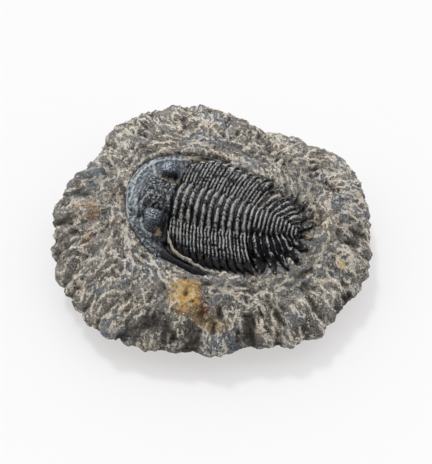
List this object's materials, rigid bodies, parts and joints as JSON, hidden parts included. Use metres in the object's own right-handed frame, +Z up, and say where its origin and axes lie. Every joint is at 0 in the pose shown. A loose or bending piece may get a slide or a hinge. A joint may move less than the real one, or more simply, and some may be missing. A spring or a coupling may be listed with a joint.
{
  "type": "trilobite fossil",
  "caption": "Spiny-tailed trilobite with tall eyes and ribbed back, lying in a shallow carved dish in a rounded limestone nodule with a flat underside.",
  "frame": {"origin": "centre of the bounding box at the level of the flat underside", "axes": "+X along the stone's longest side, towards the tail end; +Y towards the far long side; +Z up, out of the face that bears the fossil"},
  "size_m": [0.092, 0.082, 0.0241],
  "materials": {
    "limestone": "rough tool-marked grey limestone with pale scars and ochre stains",
    "fossil_shell": "black calcite, glossy in the furrows and rubbed pale on the ridges"
  },
  "bodies": {
    "root": {"matrix": "limestone", "cephalon": "fossil_shell", "thoracic_segment_01": "fossil_shell", "thoracic_segment_02": "fossil_shell", "thoracic_segment_03": "fossil_shell", "thoracic_segment_04": "fossil_shell", "thoracic_segment_05": "fossil_shell", "thoracic_segment_06": "fossil_shell", "thoracic_segment_07": "fossil_shell", "thoracic_segment_08": "fossil_shell", "thoracic_segment_09": "fossil_shell", "thoracic_segment_10": "fossil_shell", "thoracic_segment_11": "fossil_shell", "pygidium": "fossil_shell"}
  },
  "joints": []
}
